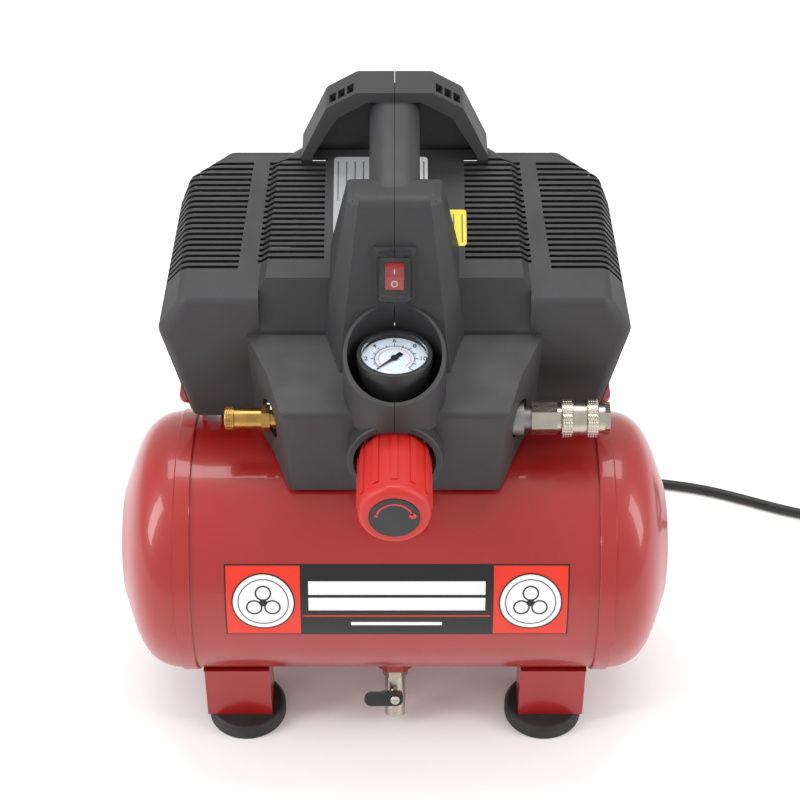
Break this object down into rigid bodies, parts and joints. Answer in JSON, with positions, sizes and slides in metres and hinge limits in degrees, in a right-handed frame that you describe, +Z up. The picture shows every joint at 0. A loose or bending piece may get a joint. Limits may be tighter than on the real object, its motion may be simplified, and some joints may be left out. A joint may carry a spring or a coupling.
{
  "type": "air compressor",
  "caption": "Portable oil-free air compressor: horizontal pressure tank on rubber feet, vented motor hood with carrying grip, regulator, gauge and quick coupler.",
  "frame": {"origin": "middle of the footprint box on the floor, cord left out", "axes": "+X along the tank to the quick coupler, +Y to the back, +Z up"},
  "size_m": [0.5799, 0.3557, 0.38],
  "materials": {
    "tank_paint": "glossy red enamel",
    "foot_rubber": "matt black rubber",
    "zinc_screws": "zinc plated",
    "nickel": "satin nickel plate",
    "black_plastic": "satin black plastic",
    "shroud_plastic": "matt charcoal plastic with a fine grain",
    "motor_steel": "bare steel",
    "cast_aluminium": "as cast",
    "fan_plastic": "matt",
    "seal": "dark seal material",
    "filter_plastic": "matt",
    "brass": "turned brass",
    "pipe_aluminium": "drawn tube",
    "steel_pipe": "zinc plated",
    "spring_steel": "spring wire",
    "knob_red": "satin red plastic",
    "dial_white": "printed white dial",
    "needle_black": "satin black",
    "clear_lens": "clear flat lens",
    "rocker_red": "translucent red plastic",
    "clear_boot": "soft clear splash cover",
    "cord_rubber": "matt black rubber"
  },
  "bodies": {
    "root": {"check_valve": "brass", "cord_coil": "cord_rubber", "cord_gland": "cord_rubber", "coupler_adapter": "cast_aluminium", "coupler_body": "nickel", "crankcase": "cast_aluminium", "cylinder": "cast_aluminium", "cylinder_head": "cast_aluminium", "delivery_pipe": "pipe_aluminium", "drain_boss": "tank_paint", "drain_valve_body": "nickel", "foot_bracket_left": "tank_paint", "foot_bracket_right": "tank_paint", "foot_screws": "zinc_screws", "gauge_case": "black_plastic", "gauge_dial": "dial_white", "gauge_lens": "clear_lens", "intake_filter": "filter_plastic", "motor_bearings": "motor_steel", "motor_end_bracket": "cast_aluminium", "motor_saddle": "tank_paint", "motor_stator": "motor_steel", "outlet_pipe": "steel_pipe", "power_cord": "cord_rubber", "power_plug": "cord_rubber", "pressure_switch": "black_plastic", "regulator_body": "cast_aluminium", "regulator_diaphragm": "seal", "regulator_spring": "spring_steel", "rubber_foot_front_left": "foot_rubber", "rubber_foot_front_right": "foot_rubber", "rubber_foot_rear_left": "foot_rubber", "rubber_foot_rear_right": "foot_rubber", "saddle_screws": "zinc_screws", "safety_valve_body": "brass", "safety_valve_spring": "spring_steel", "shroud_left": "shroud_plastic", "shroud_right": "shroud_plastic", "shroud_screws": "zinc_screws", "switch_boot": "clear_boot", "switch_housing": "black_plastic", "tank_barrel": "tank_paint", "tank_end_left": "tank_paint", "tank_end_right": "tank_paint", "valve_plate": "motor_steel"},
    "knob_set": {"regulator_knob": "knob_red", "knob_cap": "black_plastic", "regulator_stem": "brass"},
    "rocker": {"switch_rocker": "rocker_red"},
    "needle": {"gauge_needle": "needle_black"},
    "drain_handle": {"drain_lever": "black_plastic", "drain_ball_stem": "nickel", "drain_lever_screw": "zinc_screws"},
    "valve_pull": {"safety_valve_cap": "brass"},
    "coupler_ring": {"coupler_sleeve": "nickel"},
    "rotor": {"rotor_shaft": "motor_steel", "cooling_fan": "fan_plastic", "crank_disc": "cast_aluminium"},
    "piston": {"piston_rod": "cast_aluminium", "piston_seal": "seal"}
  },
  "joints": [
    {"name": "knob_turn", "type": "hinge", "parent": "root", "child": "knob_set", "pos_m": [0, -0.07, 0.223], "axis": [0, -1, 0], "range_deg": [-540, 540]},
    {"name": "switch_rock", "type": "hinge", "parent": "root", "child": "rocker", "pos_m": [0, -0.00368, 0.31372], "axis": [1, 0, 0], "range_deg": [-22, 0]},
    {"name": "needle_turn", "type": "hinge", "parent": "root", "child": "needle", "pos_m": [0, -0.034, 0.277], "axis": [0, 0, -1], "range_deg": [0, 270]},
    {"name": "drain_turn", "type": "hinge", "parent": "root", "child": "drain_handle", "pos_m": [0, -0.05515, 0.02042], "axis": [0, 0.8988, -0.4384], "range_deg": [0, 90]},
    {"name": "valve_pull_slide", "type": "slide", "parent": "root", "child": "valve_pull", "axis": [-1, 0, 0], "range_m": [0, 0.002], "stiffness_N_per_m": 1500, "springref_m": -0.001},
    {"name": "coupler_sleeve_slide", "type": "slide", "parent": "root", "child": "coupler_ring", "axis": [-1, 0, 0], "range_m": [0, 0.0018], "stiffness_N_per_m": 1000, "springref_m": -0.001},
    {"name": "motor_turn", "type": "hinge", "parent": "root", "child": "rotor", "pos_m": [0, 0.056, 0.239], "axis": [1, 0, 0], "continuous": true},
    {"name": "piston_slide", "type": "slide", "parent": "root", "child": "piston", "axis": [0, 0, -1], "range_m": [0, 0.014]}
  ]
}
